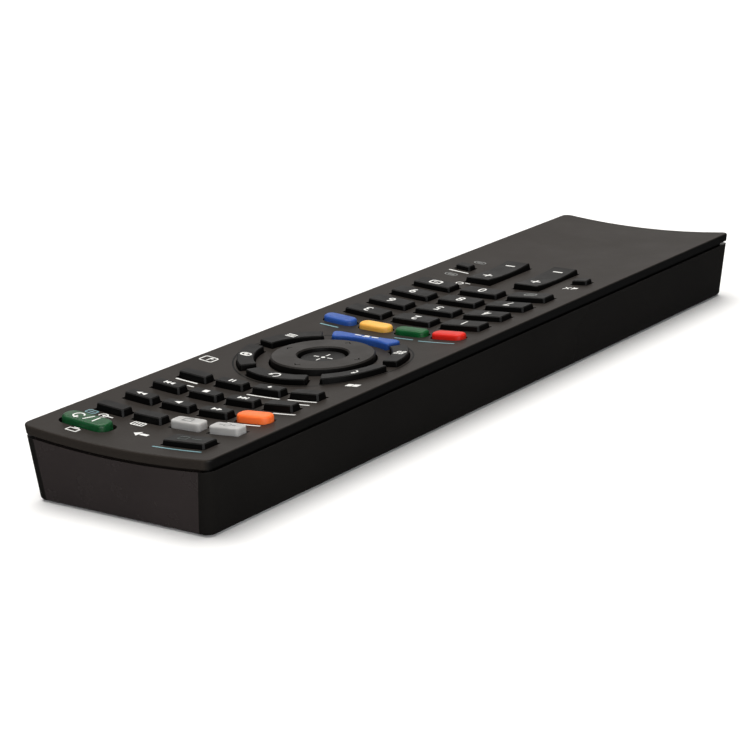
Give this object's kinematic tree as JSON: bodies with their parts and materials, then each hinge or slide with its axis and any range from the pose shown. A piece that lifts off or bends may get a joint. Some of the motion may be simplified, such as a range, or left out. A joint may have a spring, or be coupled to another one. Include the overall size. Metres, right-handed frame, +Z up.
{
  "type": "tv remote control",
  "caption": "Long slim infrared remote control with a dished deck of rubber keys, a rocking navigation ring, two rockers and a sliding battery door.",
  "frame": {"origin": "middle of the underside, on the surface that the remote lies on", "axes": "+Z up out of the deck, +Y along the remote towards the battery end, the infrared end faces -Y"},
  "size_m": [0.0488, 0.2079, 0.0178],
  "materials": {
    "cover_plastic": "fine matte grain",
    "case_plastic": "glossy, moulded",
    "window_plastic": "smoked, clear to infrared, glossy",
    "key_black": "satin coated silicone",
    "ring_black": "satin",
    "key_clear": "milky translucent silicone",
    "key_green_dark": "translucent green silicone",
    "key_orange": "satin silicone",
    "key_blue": "satin silicone",
    "key_yellow": "satin silicone",
    "key_green": "satin silicone",
    "key_red": "satin silicone",
    "board_laminate": "glass laminate with solder mask",
    "mat_rubber": "silicone sheet",
    "chip_epoxy": "moulded epoxy",
    "led_epoxy": "clear epoxy, faintly blue",
    "cell_jacket": "plain jacket",
    "spring_steel": "nickel plated wire",
    "plate_nickel": "nickel plated sheet",
    "screw_steel": "zinc plated"
  },
  "bodies": {
    "housing": {"rear_cover": "case_plastic", "top_cover": "cover_plastic", "ir_window": "window_plastic", "keypad_mat": "mat_rubber", "circuit_board": "board_laminate", "controller_chip": "chip_epoxy", "resonator": "chip_epoxy", "ir_led": "led_epoxy", "battery_cells": "cell_jacket", "battery_springs": "spring_steel", "contact_plates": "plate_nickel", "case_screws": "screw_steel"},
    "battery_door": {"battery_door": "case_plastic"},
    "power_key": {"power_key": "key_green_dark"},
    "input_key": {"input_key": "key_black"},
    "scene_key": {"scene_key": "key_black"},
    "format_key": {"format_key": "key_black"},
    "white_key_inner": {"white_key_inner": "key_clear"},
    "white_key_outer": {"white_key_outer": "key_clear"},
    "fast_forward_key": {"fast_forward_key": "key_black"},
    "play_key": {"play_key": "key_black"},
    "rewind_key": {"rewind_key": "key_black"},
    "orange_key": {"orange_key": "key_orange"},
    "next_key": {"next_key": "key_black"},
    "stop_key": {"stop_key": "key_black"},
    "previous_key": {"previous_key": "key_black"},
    "list_key": {"list_key": "key_black"},
    "subtitle_key": {"subtitle_key": "key_black"},
    "pause_key": {"pause_key": "key_black"},
    "record_key": {"record_key": "key_black"},
    "sound_key": {"sound_key": "key_black"},
    "guide_key": {"guide_key": "key_black"},
    "return_key": {"return_key": "key_black"},
    "options_key": {"options_key": "key_black"},
    "info_key": {"info_key": "key_black"},
    "exit_key": {"exit_key": "key_black"},
    "home_key": {"home_key": "key_blue"},
    "nav_ring": {"nav_ring": "ring_black"},
    "nav_ring_base": {"nav_ring_base": "ring_black"},
    "centre_button": {"centre_button": "key_black"},
    "blue_key": {"blue_key": "key_blue"},
    "yellow_key": {"yellow_key": "key_yellow"},
    "green_key": {"green_key": "key_green"},
    "red_key": {"red_key": "key_red"},
    "number_1": {"number_1": "key_black"},
    "number_2": {"number_2": "key_black"},
    "number_3": {"number_3": "key_black"},
    "number_4": {"number_4": "key_black"},
    "number_5": {"number_5": "key_black"},
    "number_6": {"number_6": "key_black"},
    "number_7": {"number_7": "key_black"},
    "number_8": {"number_8": "key_black"},
    "number_9": {"number_9": "key_black"},
    "number_0": {"number_0": "key_black"},
    "display_key": {"display_key": "key_black"},
    "text_key": {"text_key": "key_black"},
    "channel_rocker": {"channel_rocker": "key_black"},
    "volume_rocker": {"volume_rocker": "key_black"},
    "favourite_key": {"favourite_key": "key_black"},
    "mute_key": {"mute_key": "key_black"}
  },
  "joints": [
    {"name": "battery_door_slide", "type": "slide", "parent": "housing", "child": "battery_door", "axis": [0, 1, 0], "range_m": [0, 0.056]},
    {"name": "power_key_press", "type": "slide", "parent": "housing", "child": "power_key", "axis": [0, 0, -1], "range_m": [0, 0.0008], "stiffness_N_per_m": 1500},
    {"name": "input_key_press", "type": "slide", "parent": "housing", "child": "input_key", "axis": [0, 0, -1], "range_m": [0, 0.0008], "stiffness_N_per_m": 1500},
    {"name": "scene_key_press", "type": "slide", "parent": "housing", "child": "scene_key", "axis": [0, 0, -1], "range_m": [0, 0.0008], "stiffness_N_per_m": 1500},
    {"name": "format_key_press", "type": "slide", "parent": "housing", "child": "format_key", "axis": [0, 0, -1], "range_m": [0, 0.0008], "stiffness_N_per_m": 1500},
    {"name": "white_key_inner_press", "type": "slide", "parent": "housing", "child": "white_key_inner", "axis": [0, 0, -1], "range_m": [0, 0.0008], "stiffness_N_per_m": 1500},
    {"name": "white_key_outer_press", "type": "slide", "parent": "housing", "child": "white_key_outer", "axis": [0, 0, -1], "range_m": [0, 0.0008], "stiffness_N_per_m": 1500},
    {"name": "fast_forward_key_press", "type": "slide", "parent": "housing", "child": "fast_forward_key", "axis": [0, 0, -1], "range_m": [0, 0.0008], "stiffness_N_per_m": 1500},
    {"name": "play_key_press", "type": "slide", "parent": "housing", "child": "play_key", "axis": [0, 0, -1], "range_m": [0, 0.0008], "stiffness_N_per_m": 1500},
    {"name": "rewind_key_press", "type": "slide", "parent": "housing", "child": "rewind_key", "axis": [0, 0, -1], "range_m": [0, 0.0008], "stiffness_N_per_m": 1500},
    {"name": "orange_key_press", "type": "slide", "parent": "housing", "child": "orange_key", "axis": [0, 0, -1], "range_m": [0, 0.0008], "stiffness_N_per_m": 1500},
    {"name": "next_key_press", "type": "slide", "parent": "housing", "child": "next_key", "axis": [0, 0, -1], "range_m": [0, 0.0008], "stiffness_N_per_m": 1500},
    {"name": "stop_key_press", "type": "slide", "parent": "housing", "child": "stop_key", "axis": [0, 0, -1], "range_m": [0, 0.0008], "stiffness_N_per_m": 1500},
    {"name": "previous_key_press", "type": "slide", "parent": "housing", "child": "previous_key", "axis": [0, 0, -1], "range_m": [0, 0.0008], "stiffness_N_per_m": 1500},
    {"name": "list_key_press", "type": "slide", "parent": "housing", "child": "list_key", "axis": [0, 0, -1], "range_m": [0, 0.0008], "stiffness_N_per_m": 1500},
    {"name": "subtitle_key_press", "type": "slide", "parent": "housing", "child": "subtitle_key", "axis": [0, 0, -1], "range_m": [0, 0.0008], "stiffness_N_per_m": 1500},
    {"name": "pause_key_press", "type": "slide", "parent": "housing", "child": "pause_key", "axis": [0, 0, -1], "range_m": [0, 0.0008], "stiffness_N_per_m": 1500},
    {"name": "record_key_press", "type": "slide", "parent": "housing", "child": "record_key", "axis": [0, 0, -1], "range_m": [0, 0.0008], "stiffness_N_per_m": 1500},
    {"name": "sound_key_press", "type": "slide", "parent": "housing", "child": "sound_key", "axis": [0, 0, -1], "range_m": [0, 0.0008], "stiffness_N_per_m": 1500},
    {"name": "guide_key_press", "type": "slide", "parent": "housing", "child": "guide_key", "axis": [0, 0, -1], "range_m": [0, 0.0008], "stiffness_N_per_m": 1500},
    {"name": "return_key_press", "type": "slide", "parent": "housing", "child": "return_key", "axis": [0, 0, -1], "range_m": [0, 0.0008], "stiffness_N_per_m": 1500},
    {"name": "options_key_press", "type": "slide", "parent": "housing", "child": "options_key", "axis": [0, 0, -1], "range_m": [0, 0.0008], "stiffness_N_per_m": 1500},
    {"name": "info_key_press", "type": "slide", "parent": "housing", "child": "info_key", "axis": [0, 0, -1], "range_m": [0, 0.0008], "stiffness_N_per_m": 1500},
    {"name": "exit_key_press", "type": "slide", "parent": "housing", "child": "exit_key", "axis": [0, 0, -1], "range_m": [0, 0.0008], "stiffness_N_per_m": 1500},
    {"name": "home_key_press", "type": "slide", "parent": "housing", "child": "home_key", "axis": [0, 0, -1], "range_m": [0, 0.0008], "stiffness_N_per_m": 1500},
    {"name": "nav_ring_rock", "type": "hinge", "parent": "nav_ring_base", "child": "nav_ring", "pos_m": [0, -0.0357, 0.012], "axis": [0, 1, 0], "range_deg": [-2.2, 2.2], "stiffness_Nm_per_rad": 0.3},
    {"name": "nav_ring_base_rock", "type": "hinge", "parent": "housing", "child": "nav_ring_base", "pos_m": [0, -0.0357, 0.0106], "axis": [1, 0, 0], "range_deg": [-2.2, 2.2], "stiffness_Nm_per_rad": 0.3},
    {"name": "centre_button_press", "type": "slide", "parent": "housing", "child": "centre_button", "axis": [0, 0, -1], "range_m": [0, 0.0008], "stiffness_N_per_m": 1500},
    {"name": "blue_key_press", "type": "slide", "parent": "housing", "child": "blue_key", "axis": [0, 0, -1], "range_m": [0, 0.0008], "stiffness_N_per_m": 1500},
    {"name": "yellow_key_press", "type": "slide", "parent": "housing", "child": "yellow_key", "axis": [0, 0, -1], "range_m": [0, 0.0008], "stiffness_N_per_m": 1500},
    {"name": "green_key_press", "type": "slide", "parent": "housing", "child": "green_key", "axis": [0, 0, -1], "range_m": [0, 0.0008], "stiffness_N_per_m": 1500},
    {"name": "red_key_press", "type": "slide", "parent": "housing", "child": "red_key", "axis": [0, 0, -1], "range_m": [0, 0.0008], "stiffness_N_per_m": 1500},
    {"name": "number_1_press", "type": "slide", "parent": "housing", "child": "number_1", "axis": [0, 0, -1], "range_m": [0, 0.0008], "stiffness_N_per_m": 1500},
    {"name": "number_2_press", "type": "slide", "parent": "housing", "child": "number_2", "axis": [0, 0, -1], "range_m": [0, 0.0008], "stiffness_N_per_m": 1500},
    {"name": "number_3_press", "type": "slide", "parent": "housing", "child": "number_3", "axis": [0, 0, -1], "range_m": [0, 0.0008], "stiffness_N_per_m": 1500},
    {"name": "number_4_press", "type": "slide", "parent": "housing", "child": "number_4", "axis": [0, 0, -1], "range_m": [0, 0.0008], "stiffness_N_per_m": 1500},
    {"name": "number_5_press", "type": "slide", "parent": "housing", "child": "number_5", "axis": [0, 0, -1], "range_m": [0, 0.0008], "stiffness_N_per_m": 1500},
    {"name": "number_6_press", "type": "slide", "parent": "housing", "child": "number_6", "axis": [0, 0, -1], "range_m": [0, 0.0008], "stiffness_N_per_m": 1500},
    {"name": "number_7_press", "type": "slide", "parent": "housing", "child": "number_7", "axis": [0, 0, -1], "range_m": [0, 0.0008], "stiffness_N_per_m": 1500},
    {"name": "number_8_press", "type": "slide", "parent": "housing", "child": "number_8", "axis": [0, 0, -1], "range_m": [0, 0.0008], "stiffness_N_per_m": 1500},
    {"name": "number_9_press", "type": "slide", "parent": "housing", "child": "number_9", "axis": [0, 0, -1], "range_m": [0, 0.0008], "stiffness_N_per_m": 1500},
    {"name": "number_0_press", "type": "slide", "parent": "housing", "child": "number_0", "axis": [0, 0, -1], "range_m": [0, 0.0008], "stiffness_N_per_m": 1500},
    {"name": "display_key_press", "type": "slide", "parent": "housing", "child": "display_key", "axis": [0, 0, -1], "range_m": [0, 0.0008], "stiffness_N_per_m": 1500},
    {"name": "text_key_press", "type": "slide", "parent": "housing", "child": "text_key", "axis": [0, 0, -1], "range_m": [0, 0.0008], "stiffness_N_per_m": 1500},
    {"name": "channel_rocker_rock", "type": "hinge", "parent": "housing", "child": "channel_rocker", "pos_m": [-0.0068, 0.044, 0.01165], "axis": [1, 0, 0], "range_deg": [-2.5, 2.5], "stiffness_Nm_per_rad": 0.25},
    {"name": "volume_rocker_rock", "type": "hinge", "parent": "housing", "child": "volume_rocker", "pos_m": [0.0068, 0.044, 0.01165], "axis": [1, 0, 0], "range_deg": [-2.5, 2.5], "stiffness_Nm_per_rad": 0.25},
    {"name": "favourite_key_press", "type": "slide", "parent": "housing", "child": "favourite_key", "axis": [0, 0, -1], "range_m": [0, 0.0008], "stiffness_N_per_m": 1500},
    {"name": "mute_key_press", "type": "slide", "parent": "housing", "child": "mute_key", "axis": [0, 0, -1], "range_m": [0, 0.0008], "stiffness_N_per_m": 1500}
  ]
}
